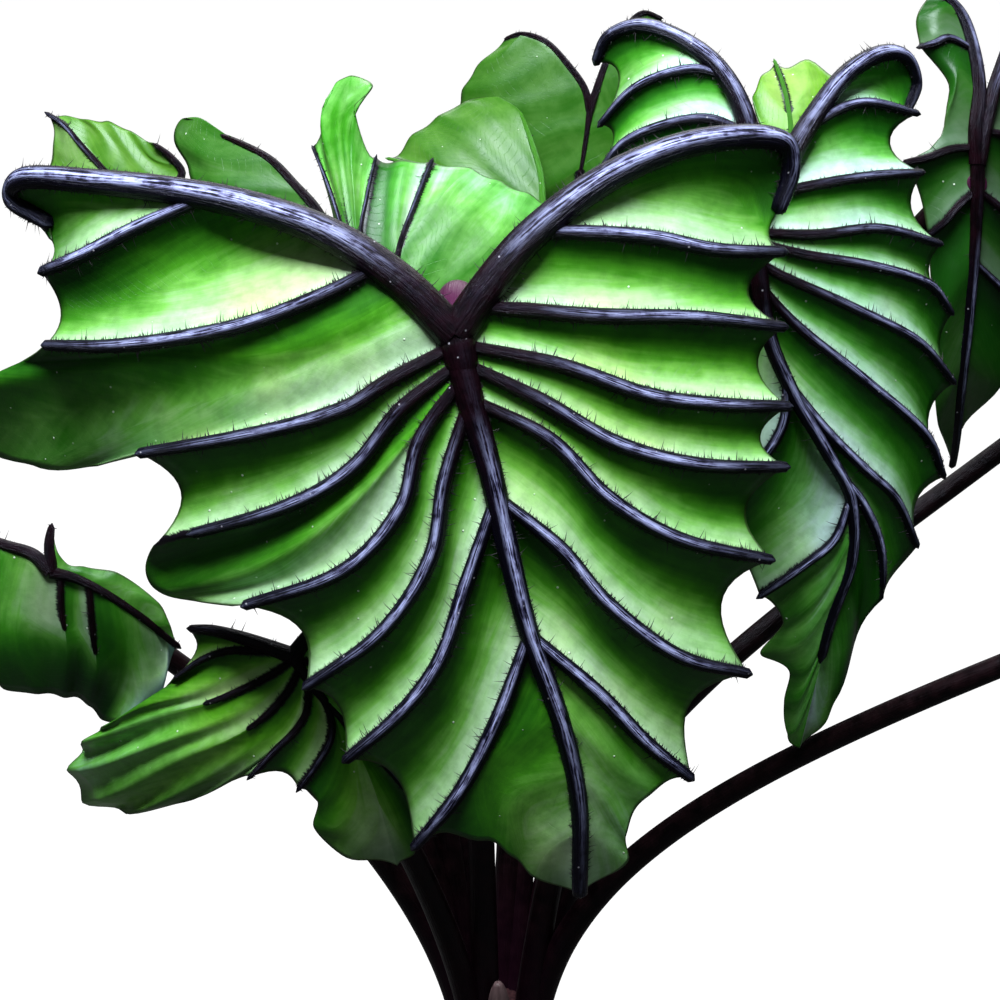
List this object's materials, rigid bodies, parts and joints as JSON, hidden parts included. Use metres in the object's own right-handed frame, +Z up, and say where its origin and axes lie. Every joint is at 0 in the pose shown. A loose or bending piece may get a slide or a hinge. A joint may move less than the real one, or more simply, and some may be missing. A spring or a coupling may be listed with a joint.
{
  "type": "potted taro",
  "caption": "Potted taro with large quilted green leaves, raised purple-black ribs and dark stalks, in a plain round nursery pot of soil.",
  "frame": {"origin": "centre of the pot's base, on the surface it stands on", "axes": "+Z up, the plant's front leaf faces -Y, +X is to the right seen from the front"},
  "size_m": [0.6183, 0.3945, 0.8943],
  "materials": {
    "blade": "satin",
    "rib": "satin",
    "stalk": "satin",
    "leaf_base": "satin",
    "shoot": "matte",
    "pot": "matte",
    "soil": "matte"
  },
  "bodies": {
    "root": {"pot": "pot", "soil": "soil", "leaf_bases": "leaf_base", "young_shoot": "shoot", "front_blade": "blade", "front_ribs": "rib", "front_stalk": "stalk", "right_blade": "blade", "right_ribs": "rib", "right_stalk": "stalk", "back_pale_blade": "blade", "back_pale_ribs": "rib", "back_pale_stalk": "stalk", "back_tall_blade": "blade", "back_tall_ribs": "rib", "back_tall_stalk": "stalk", "back_middle_blade": "blade", "back_middle_ribs": "rib", "back_middle_stalk": "stalk", "back_left_blade": "blade", "back_left_ribs": "rib", "back_left_stalk": "stalk", "back_edge_blade": "blade", "back_edge_ribs": "rib", "back_edge_stalk": "stalk", "low_left_blade": "blade", "low_left_ribs": "rib", "low_left_stalk": "stalk", "far_left_blade": "blade", "far_left_ribs": "rib", "far_left_stalk": "stalk", "far_right_blade": "blade", "far_right_ribs": "rib", "far_right_stalk": "stalk", "back_right_blade": "blade", "back_right_ribs": "rib", "back_right_stalk": "stalk", "low_right_blade": "blade", "low_right_ribs": "rib", "low_right_stalk": "stalk", "mid_right_blade": "blade", "mid_right_ribs": "rib", "mid_right_stalk": "stalk"}
  },
  "joints": []
}
